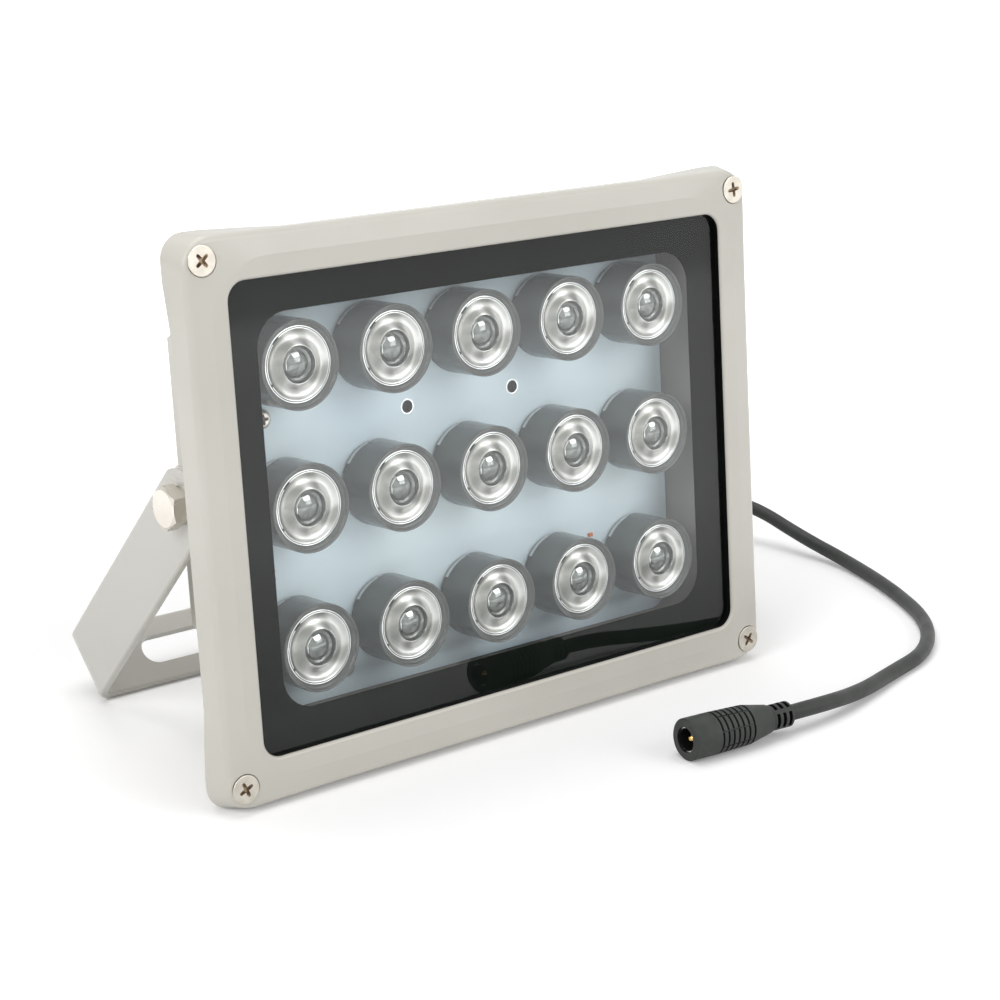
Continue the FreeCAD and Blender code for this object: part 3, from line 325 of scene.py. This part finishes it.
def dress(node, material):
    """Give a node of the part its material."""
    mesh = nodes[node].data
    mesh.materials.clear()
    mesh.materials.append(material)


def dress_faces(node, material, chosen):
    """Give a second material to the faces whose centre and normal, in the lamp's frame, are chosen."""
    mesh = nodes[node].data
    mesh.materials.append(material)
    number = len(mesh.materials) - 1
    back = LAMP.inverted()
    for face in mesh.polygons:
        centre = back @ face.center / MM
        normal = back.to_3x3() @ face.normal
        if chosen(centre, normal):
            face.material_index = number


def is_opening_wall(centre, normal):
    """Whether a face of the bezel lies on the wall of its opening, in front of the glass or beside it."""
    inside = (abs(centre.x) < OPENING_HALF[0] + OPENING_MARGIN
              and abs(centre.z) < OPENING_HALF[1] + OPENING_MARGIN)
    steep = abs(normal.y) < OPENING_WALL_SLOPE
    faces_in = normal.x * centre.x + normal.z * centre.z < 0
    return inside and centre.y > OPENING_WALL_FRONT and steep and faces_in


def is_cavity_wall(centre, normal):
    """Whether a face of the housing lies inside it."""
    taken = (centre.y - FLANGE_FRONT) * CAVITY_DRAFT - 0.1
    inside = (abs(centre.x) < CAVITY_FRONT_HALF[0] - taken
              and abs(centre.z) < CAVITY_FRONT_HALF[1] - taken)
    faces_in = normal.x * centre.x + normal.z * centre.z <= 0.0 or abs(centre.y - CAVITY_BACK) < 0.5
    return inside and faces_in and FLANGE_FRONT - 0.1 < centre.y < CAVITY_BACK + 0.1


def is_hole_wall(centre, normal):
    """Whether a face of the board lies in one of its unfilled holes."""
    reach = min(math.hypot(centre.x - x, centre.z - z) for x, z in SPARE_HOLES)
    return reach < SPARE_HOLE_R + 0.1 and abs(normal.y) < 0.5


def socket_place(centre):
    """How far a point lies behind the socket's front face and from its axis, in millimetres."""
    offset = LAMP @ (centre * MM) / MM - Vector((*SOCKET_FRONT, SOCKET_R))
    along = offset.dot(SOCKET_AXIS)
    return along, (offset - SOCKET_AXIS * along).length


def is_socket_recess(centre, normal):
    """Whether a face of the socket lies in its bore, in a ring groove or in a slot of its relief."""
    along, reach = socket_place(centre)
    in_bore = 0.05 < along < BORE_END and reach < BORE_R
    slopes = abs((LAMP.to_3x3() @ normal).dot(SOCKET_AXIS)) > GROOVE_SLOPE
    grip_r = SOCKET_R - GRIP_TAPER * (along - GRIP_TAPER_START)
    in_groove = GRIP_GROOVES[0] < along < GRIP_GROOVES[1] and reach < grip_r - 0.05 and slopes
    in_slot = RELIEF_SLOTS[0] < along < RELIEF_SLOTS[1] and reach < RELIEF_CORE_R
    return in_bore or in_groove or in_slot


def is_sleeve_inside(centre, normal):
    """Whether a face of the sleeve lies on its inner wall."""
    along, reach = socket_place(centre)
    return along > SLEEVE_LIP_END and reach < SLEEVE_INNER_R


for name, material in {
        "front_bezel": paint, "rear_housing": paint, "mounting_bracket": strap_paint,
        "bezel_screws": nickel, "board_screws": nickel, "driver_screws": nickel,
        "pivot_bolts": zinc, "spring_washers": zinc, "front_glass": window_glass,
        "glass_gasket": silicone, "led_board": solder_mask, "led_emitters": ceramic,
        "sensor_chip": orange, "driver_board": green_mask, "driver_capacitor": can,
        "driver_inductor": black_plastic, "driver_chip": black_plastic,
        "terminal_blocks": green_plastic, "input_leads": red_lead, "led_leads": red_lead,
        "gland_body": black_plastic, "gland_ring": silicone, "gland_seal": silicone,
        "gland_nut": black_plastic, "power_cord": jacket, "connector_body": moulded,
        "connector_sleeve": sleeve_metal, "connector_pin": brass}.items():
    dress(name, material)
for index in range(1, LENS_COUNT + 1):
    dress(f"lens_holder_{index:02d}", holder_plastic)
    dress(f"lens_{index:02d}", dish_painted_reflection)
# The opening's wall is near black: sealant beside the glass and painted shade in front of it.
dress_faces("front_bezel", sealant_and_shade_black, is_opening_wall)
# The walls inside the housing take the darker grey: painted shade.
dress_faces("rear_housing", inside_painted_shade, is_cavity_wall)
# The board's open holes, the socket's recesses and the sleeve's inside are painted near black: painted
# shade.
dress_faces("led_board", shade_and_dash_black, is_hole_wall)
dress_faces("connector_body", shade_and_dash_black, is_socket_recess)
dress_faces("connector_sleeve", shade_and_dash_black, is_sleeve_inside)


# Helpers for the added pieces

def add_piece(name, mesh, place, smooth=True):
    """A mesh that belongs to the lamp, put in place in the row's frame."""
    piece = bpy.data.objects.new(name, mesh)
    bpy.context.scene.collection.objects.link(piece)
    piece.matrix_world = place
    if smooth:
        mesh.shade_smooth()
    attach(piece, "lamp")
    return piece


def add_rings(build, rows, centre=(0.0, 0.0), turn=0.0, steps=64):
    """A surface of revolution about Y from rows of radius, depth and material number."""
    rings = []
    for radius, depth, _ in rows:
        ring = []
        for step in range(steps if radius > 0 else 1):
            angle = turn + 2 * math.pi * step / steps
            point = (centre[0] + radius * math.cos(angle), depth, centre[1] + radius * math.sin(angle))
            ring.append(build.verts.new(Vector(point) * MM))
        rings.append(ring)
    for inner, outer, row in zip(rings, rings[1:], rows[1:]):
        for step in range(steps):
            after = (step + 1) % steps
            corners = [inner[step % len(inner)], inner[after % len(inner)],
                       outer[after % len(outer)], outer[step % len(outer)]]
            corners = [corner for place, corner in enumerate(corners) if corner not in corners[:place]]
            build.faces.new(corners).material_index = row[2]
    return rings


def finish_mesh(build, name, materials):
    """The mesh of a finished build, with its materials and its seams joined."""
    bmesh.ops.remove_doubles(build, verts=build.verts, dist=1e-7)
    bmesh.ops.recalc_face_normals(build, faces=build.faces)
    mesh = bpy.data.meshes.new(name)
    build.to_mesh(mesh)
    build.free()
    for material in materials:
        mesh.materials.append(material)
    return mesh


def face_place(face):
    """A face's centre in millimetres, its angle about Y from 0 to 360 and its distance from Y."""
    centre = face.center / MM
    return centre, math.degrees(math.atan2(centre.z, centre.x)) % 360, math.hypot(centre.x, centre.z)


# Lenses and their cups. Rows are the radius, the depth behind the piece's front and the material
# number, and angles are in degrees about its axis, from the right and upwards.

LINE, GROOVE, DISH, CRATER, DOME, DASH = range(6)
CUP, CUP_RIM, CUP_SHADE, CUP_HIGHLIGHT = range(4)
ROUND_STEPS = 72
LENS_EDGE = [(0.0, 5.6, DISH), (3.4, 6.4, DISH), (4.2, 6.4, DISH), (LENS_R - 0.15, 1.4, DISH),
             (LENS_R, 1.2, DISH), (LENS_R, 0.12, LINE), (LENS_R - 0.1, 0.0, LINE),
             (LENS_R - 0.3, 0.0, LINE), (LENS_R - 0.36, 0.1, GROOVE), (LENS_R - 0.5, 0.1, GROOVE),
             (LENS_R - 0.56, 0.0, GROOVE), (LENS_R - 0.72, 0.0, LINE)]
DISH_START_R = LENS_R - 0.72
DISH_END_R = 4.75
DISH_STEPS = 14
DISH_DEPTH = 0.95
DISH_RISE = 0.45
LENS_CRATER = [(4.6, -0.5, DISH), (4.45, -0.42, CRATER), (4.36, -0.2, CRATER), (4.22, 0.6, CRATER),
               (4.05, 0.9, CRATER), (2.6, 1.0, CRATER), (0.0, 1.0, CRATER)]
LENS_DOME = [(0.0, 1.15, DOME), (3.8, 1.1, DOME), (3.15, 0.55, DOME), (2.1, -0.05, DOME),
             (0.7, -0.3, DOME), (0.0, -0.33, DOME)]
DOME_SIDES = 9
# Facets of the dome painted bright as glints: the depths and the angles between which their centres lie
GLINT_FACETS = ((0.7, 1.0, 130.0, 150.0), (0.7, 1.0, 170.0, 190.0), (0.0, 0.5, 90.0, 110.0))
# Dark dashes in the groove of each lens: their radii and angles
DASH_RADII = (LENS_R - 0.9, LENS_R - 0.32)
DASH_ANGLES = ((126.0, 142.0), (204.0, 211.0))
# A pale crescent at the foot of each cup, a painted highlight: how far its two steps rise from the foot,
# and its angles
HIGHLIGHT_START = 0.68
HIGHLIGHT_ENDS = (1.25, 1.8)
HIGHLIGHT_ANGLES = (97.0, 107.0, 143.0)
CUP_EDGE_R = 0.25
CUP_EDGE_STEPS = 4


def lens_mesh():
    """One lens: a bright rim, a fine groove, a silvery dish of painted reflection and a crater with a dome
    in it, some of whose facets are painted glints.
    """
    rows = list(LENS_EDGE)
    for step in range(1, DISH_STEPS + 1):
        share = step / DISH_STEPS
        trough = DISH_DEPTH * math.sin(math.pi * share ** 0.8) ** 1.3
        rows.append((DISH_START_R + (DISH_END_R - DISH_START_R) * share,
                     trough - DISH_RISE * share ** 2, DISH))
    build = bmesh.new()
    add_rings(build, rows + LENS_CRATER, steps=ROUND_STEPS)
    add_rings(build, LENS_DOME, steps=DOME_SIDES)
    mesh = finish_mesh(build, "lens_look",
                       [rim_and_glint_bright, lens_groove, dish_painted_reflection, crater, crater_dome, shade_and_dash_black])
    for face in mesh.polygons:
        centre, angle, reach = face_place(face)
        if DASH_RADII[0] < reach < DASH_RADII[1] and any(low < angle < high for low, high in DASH_ANGLES):
            face.material_index = DASH
        # Facets of the dome on the upper left take the bright rim colour: painted glints.
        if face.material_index == DOME and any(front < centre.y < back and low < angle < high
                                               for front, back, low, high in GLINT_FACETS):
            face.material_index = LINE
    return mesh


def holder_mesh():
    """One cup: a chamfered foot, a rounded front rim with a step in it and a bore for the lens."""
    foot = BOARD_FRONT - HOLDER_FRONT
    # The foot's chamfer is near black: painted shade where the cup meets the board.
    rows = [(HOLDER_BORE_R, foot, CUP), (HOLDER_R - 0.45, foot, CUP),
            (HOLDER_R - 0.05, foot - 0.5, CUP_SHADE), (HOLDER_R, foot - 0.66, CUP_SHADE),
            (HOLDER_R, foot - HIGHLIGHT_ENDS[0], CUP), (HOLDER_R, foot - HIGHLIGHT_ENDS[1], CUP),
            (HOLDER_R, 0.3, CUP)]
    for step in range(CUP_EDGE_STEPS + 1):
        angle = math.radians(-90 * step / CUP_EDGE_STEPS)
        rows.append((HOLDER_R - CUP_EDGE_R + CUP_EDGE_R * math.cos(angle),
                     CUP_EDGE_R + CUP_EDGE_R * math.sin(angle), CUP_RIM))
    rows += [(HOLDER_R - 0.4, 0.06, CUP_RIM), (10.2, 0.5, CUP_RIM), (10.12, 0.7, CUP), (9.98, 0.7, CUP),
             (9.7, 0.98, CUP_RIM), (9.5, 1.1, CUP_RIM), (HOLDER_BORE_R, 1.3, CUP),
             (HOLDER_BORE_R, 2.4, CUP), (HOLDER_BORE_R, foot, CUP)]
    build = bmesh.new()
    add_rings(build, rows, steps=ROUND_STEPS)
    mesh = finish_mesh(build, "holder_look", [holder_plastic, holder_rim_painted_light, shade_and_dash_black, holder_painted_highlight])
    # Faces of the crescent on the foot's upper left take the pale colour, a painted highlight.
    for face in mesh.polygons:
        centre, angle, reach = face_place(face)
        end = HIGHLIGHT_ENDS[0] if angle < HIGHLIGHT_ANGLES[1] else HIGHLIGHT_ENDS[1]
        on_side = HIGHLIGHT_START < foot - centre.y < end and reach > HOLDER_R - 0.1
        if on_side and HIGHLIGHT_ANGLES[0] < angle < HIGHLIGHT_ANGLES[2]:
            face.material_index = CUP_HIGHLIGHT
    return mesh


lens = lens_mesh()
holder = holder_mesh()
for index in range(LENS_COUNT):
    row, column = divmod(index, LENS_COLUMNS)
    number = f"{index + 1:02d}"
    x = (column - 2) * LENS_PITCH[0]
    z = (1 - row) * LENS_PITCH[1]
    for kind, mesh, depth, slot in (("lens", lens, LENS_FRONT, "lens_clear"),
                                    ("holder", holder, HOLDER_FRONT, "holder_black")):
        place = LAMP @ Matrix.Translation(Vector((x, depth, z)) * MM)
        piece = add_piece(f"{kind}_look_{number}", mesh, place)
        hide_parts(f"lens_{number}" if kind == "lens" else f"lens_holder_{number}")


# Screws. A cross is given by its arms' length, their half width, half its waist and its depth.

HEAD, CROSS = range(2)
# An arm narrows from its shoulder, at this share of its length, to its end. Both are shares of the
# half width.
ARM_SHOULDER = (0.8, 0.62)
ARM_END = 0.4
# The size of a cross at the lip under the screw's face, how deep that lies, and its size at the bottom
CROSS_LIP = (0.93, 0.12)
CROSS_BOTTOM = 0.62
BEZEL_HEAD = [(3.4, 0.0), (3.52, 0.03), (3.6, 0.12), (3.62, 0.3), (2.0, 2.05), (2.0, 10.0), (0.0, 10.2)]
BEZEL_CROSS = (2.0, 0.72, 0.5, 0.85)
BEZEL_TURNS_DEG = (40, 8, 24, 52)
PAN_HEAD = [(1.55, 0.0), (1.95, 0.16), (2.3, 0.5), (2.52, 1.0), (2.65, 1.98), (1.5, BOARD_SCREW_HEAD),
            (1.5, BOARD_SCREW_HEAD + BOARD_SCREW_LENGTH - 0.3),
            (0.0, BOARD_SCREW_HEAD + BOARD_SCREW_LENGTH)]
PAN_CROSS = (1.4, 0.6, 0.44, 1.0)
PAN_TURNS_DEG = (10, 65, 30, 80, 5)


def turned(x, z, turn):
    """A point turned about Y."""
    return x * math.cos(turn) - z * math.sin(turn), x * math.sin(turn) + z * math.cos(turn)


def cross_outline(length, tip, waist):
    """Corners of a cross with tapered arms."""
    shoulder_x, shoulder_z = length * ARM_SHOULDER[0], tip * ARM_SHOULDER[1]
    end_z = tip * ARM_END
    arm = ((waist, -waist), (shoulder_x, -shoulder_z), (length, -end_z), (length, end_z),
           (shoulder_x, shoulder_z))
    return [turned(x, z, math.radians(90 * quarter)) for quarter in range(4) for x, z in arm]


def add_screw(build, centre, face_y, head, cross, turn_deg):
    """A screw whose flat face has a tapered cross pressed into it."""
    turn = math.radians(turn_deg)
    rim = add_rings(build, [(radius, face_y + depth, HEAD) for radius, depth in head], centre, turn)[0]
    length, tip, waist, sink = cross
    loops = []
    for share, depth in ((1.0, 0.0), CROSS_LIP, (CROSS_BOTTOM, sink)):
        loop = []
        for corner in cross_outline(length * share, tip * share, waist * share):
            x, z = turned(*corner, turn)
            loop.append(build.verts.new(Vector((centre[0] + x, face_y + depth, centre[1] + z)) * MM))
        loops.append(loop)
    edges = []
    for ring in (rim, loops[0]):
        for first, second in zip(ring, ring[1:] + ring[:1]):
            edges.append(build.edges.get((first, second)) or build.edges.new((first, second)))
    bmesh.ops.triangle_fill(build, edges=edges, use_beauty=True)
    for upper, lower in zip(loops, loops[1:]):
        for start in range(len(upper)):
            after = (start + 1) % len(upper)
            face = build.faces.new([upper[start], upper[after], lower[after], lower[start]])
            face.material_index = CROSS
    build.faces.new(loops[-1]).material_index = CROSS


def make_screws(name, places, face_y, head, cross, turns, replaced):
    """One piece that holds all the screws of a kind, each turned its own way."""
    build = bmesh.new()
    for centre, turn_deg in zip(places, turns):
        add_screw(build, centre, face_y, head, cross, turn_deg)
    piece = add_piece(name, finish_mesh(build, name, [nickel, recess_shade]), LAMP, smooth=False)
    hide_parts(replaced)


make_screws("bezel_screw_look", [(side_x * BEZEL_SCREW_HALF[0], side_z * BEZEL_SCREW_HALF[1])
                                 for side_x, side_z in ((-1, 1), (1, 1), (-1, -1), (1, -1))],
            BEZEL_SCREW_FRONT, BEZEL_HEAD, BEZEL_CROSS, BEZEL_TURNS_DEG, "bezel_screws")
make_screws("board_screw_look", BOARD_SCREWS, BOARD_FRONT - BOARD_SCREW_HEAD, PAN_HEAD, PAN_CROSS,
            PAN_TURNS_DEG, "board_screws")


# The board's tinned rings and the glass's printed border

TIN_WIDTH = 0.42
TIN_HEIGHT = 0.04
RING_STEPS = 40
PRINT_INSET = 0.2
# How far the border's front and back lie before the back of the glass
PRINT_DEPTHS = (0.04, 0.01)
CORNER_STEPS = 10


def make_hole_rings():
    """The bare tinned rings round the board's two unfilled holes."""
    build = bmesh.new()
    for place in SPARE_HOLES:
        add_rings(build, [(SPARE_HOLE_R, 0.0, 0), (SPARE_HOLE_R + 0.02, -TIN_HEIGHT, 0),
                          (SPARE_HOLE_R + TIN_WIDTH - 0.02, -TIN_HEIGHT, 0),
                          (SPARE_HOLE_R + TIN_WIDTH + 0.02, 0.0, 0), (SPARE_HOLE_R, 0.0, 0)],
                  place, steps=RING_STEPS)
    piece = add_piece("hole_rings", finish_mesh(build, "hole_rings", [bare_tin]),
                      LAMP @ Matrix.Translation((0, BOARD_FRONT * MM, 0)))


def rounded_ring(half_x, half_z, radius):
    """Points of a rectangle with round corners, in millimetres."""
    points = []
    for side_x, side_z, start in ((1, 1, 0), (-1, 1, 90), (-1, -1, 180), (1, -1, 270)):
        for step in range(CORNER_STEPS + 1):
            turn = math.radians(start + 90 * step / CORNER_STEPS)
            points.append((side_x * (half_x - radius) + radius * math.cos(turn),
                           side_z * (half_z - radius) + radius * math.sin(turn)))
    return points


def make_print():
    """The black border printed on the back of the glass."""
    inner = rounded_ring(*WINDOW_HALF, WINDOW_CORNER_R)
    outer = rounded_ring(GLASS_HALF[0] - PRINT_INSET, GLASS_HALF[1] - PRINT_INSET,
                         GLASS_CORNER_R - PRINT_INSET)
    front, back = (GLASS_BACK - depth for depth in PRINT_DEPTHS)
    build = bmesh.new()
    loops = [[build.verts.new((x * MM, depth * MM, z * MM)) for x, z in points]
             for points, depth in ((inner, front), (outer, front), (outer, back), (inner, back))]
    for near, far in zip(loops, loops[1:] + loops[:1]):
        for start in range(len(inner)):
            after = (start + 1) % len(inner)
            build.faces.new([near[start], far[start], far[after], near[after]])
    piece = add_piece("glass_print", finish_mesh(build, "glass_print", [print_black]), LAMP, smooth=False)


make_hole_rings()
make_print()


# Cord

curve = bpy.data.curves.new("cord_look", "CURVE")
curve.dimensions = "3D"
spline = curve.splines.new("NURBS")
spline.points.add(len(CORD_POINTS) - 1)
for point, place in zip(spline.points, CORD_POINTS):
    point.co = (*(value * MM for value in place), 1.0)
spline.order_u = 3
spline.use_endpoint_u = True
spline.resolution_u = 12
curve.bevel_depth = CORD_R * MM
curve.bevel_resolution = 8
curve.use_fill_caps = True
curve.materials.append(jacket)
cord = bpy.data.objects.new("cord_look", curve)
bpy.context.scene.collection.objects.link(cord)
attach(cord, "lamp")
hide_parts("power_cord")


# Camera and stage, in metres

FOCAL_LENGTH = 82.2
CAMERA_PLACE = (-0.3493, -0.4780, 0.2266)
CAMERA_RIGHT = (0.7794, -0.6266, 0.0)
CAMERA_FORWARD = (0.6005, 0.7474, -0.2843)
FLOOR_HALF = 4.0
FLOOR_ALBEDO = 0.9
# The floor's own light near the object and far from it, and the distances where it starts and ends
# to rise
FLOOR_GLOW = (0.13, 1.0)
FLOOR_GLOW_REACH = (0.1, 0.45)
# The world's strength as a light, and where it is seen
WORLD_STRENGTH = (0.36, 1.0)
# Name, place, point that it looks at, side and power of each light
LIGHTS = (("key", (-1.6, -0.35, 1.15), (0, 0, 0.06), 1.1, 16.5),
          ("fill", (0.8, -1.5, 0.9), (0, 0, 0.06), 1.2, 11.0),
          ("top", (0.0, 0.2, 1.6), (0, 0, 0.0), 1.2, 11.5))


def make_camera():
    """The camera at the photograph's viewing angle."""
    camera = bpy.data.objects.new("camera", bpy.data.cameras.new("camera"))
    camera.data.lens = FOCAL_LENGTH
    camera.data.clip_start = 0.01
    right = Vector(CAMERA_RIGHT).normalized()
    forward = Vector(CAMERA_FORWARD).normalized()
    aim = Matrix((right, right.cross(forward), -forward)).transposed().to_4x4()
    camera.matrix_world = Matrix.Translation(CAMERA_PLACE) @ aim
    bpy.context.scene.collection.objects.link(camera)
    bpy.context.scene.camera = camera


def add_area_light(name, place, target, size, power):
    """A soft square lamp that looks at a point."""
    data = bpy.data.lights.new(name, "AREA")
    data.size = size
    data.energy = power
    light = bpy.data.objects.new(name, data)
    light.location = place
    light.rotation_mode = "QUATERNION"
    light.rotation_quaternion = (Vector(target) - Vector(place)).to_track_quat("-Z", "Y")
    bpy.context.scene.collection.objects.link(light)


def seen_rays(tree):
    """One where a camera, glossy or transmission ray looks at a surface, else zero."""
    path = tree.nodes.new("ShaderNodeLightPath")
    seen = path.outputs["Is Camera Ray"]
    for kind in ("Is Glossy Ray", "Is Transmission Ray"):
        seen = add_maximum(tree, seen, path.outputs[kind])
    return seen


def make_floor():
    """A plain white floor that keeps the object's shadow. Far from the object it glows to plain white."""
    material, tree, shader = new_material("floor")
    fill(shader, {"Base Color": (FLOOR_ALBEDO, FLOOR_ALBEDO, FLOOR_ALBEDO, 1.0), "Roughness": 0.9,
                  "Specular IOR Level": 0.0})
    place = tree.nodes.new("ShaderNodeTexCoord")
    length = tree.nodes.new("ShaderNodeVectorMath")
    length.operation = "LENGTH"
    spread = tree.nodes.new("ShaderNodeMapRange")
    spread.interpolation_type = "SMOOTHSTEP"
    fill(spread, {"From Min": FLOOR_GLOW_REACH[0], "From Max": FLOOR_GLOW_REACH[1],
                  "To Min": FLOOR_GLOW[0], "To Max": FLOOR_GLOW[1]})
    level = tree.nodes.new("ShaderNodeMath")
    level.operation = "MULTIPLY"
    glow = tree.nodes.new("ShaderNodeEmission")
    add = tree.nodes.new("ShaderNodeAddShader")
    tree.links.new(place.outputs["Object"], length.inputs[0])
    tree.links.new(length.outputs["Value"], spread.inputs["Value"])
    tree.links.new(spread.outputs["Result"], level.inputs[0])
    tree.links.new(seen_rays(tree), level.inputs[1])
    tree.links.new(level.outputs[0], glow.inputs["Strength"])
    tree.links.new(shader.outputs[0], add.inputs[0])
    tree.links.new(glow.outputs[0], add.inputs[1])
    tree.links.new(add.outputs[0], tree.nodes["Material Output"].inputs["Surface"])
    mesh = bpy.data.meshes.new("floor")
    corners = [(x * FLOOR_HALF, y * FLOOR_HALF, 0) for x, y in ((-1, -1), (1, -1), (1, 1), (-1, 1))]
    mesh.from_pydata(corners, [], [(0, 1, 2, 3)])
    mesh.materials.append(material)
    floor = bpy.data.objects.new("floor", mesh)
    bpy.context.scene.collection.objects.link(floor)


def make_world():
    """White where it is seen, also in glass and metal, and a plain even light elsewhere."""
    world = bpy.data.worlds.new("world")
    world.use_nodes = True
    tree = world.node_tree
    background = tree.nodes["Background"]
    fill(background, {"Color": (1.0, 1.0, 1.0, 1.0)})
    level = tree.nodes.new("ShaderNodeMapRange")
    fill(level, {"To Min": WORLD_STRENGTH[0], "To Max": WORLD_STRENGTH[1]})
    tree.links.new(seen_rays(tree), level.inputs["Value"])
    tree.links.new(level.outputs["Result"], background.inputs["Strength"])
    bpy.context.scene.world = world


make_camera()
make_floor()
make_world()
for light in LIGHTS:
    add_area_light(*light)

bpy.context.scene.view_settings.view_transform = "Standard"
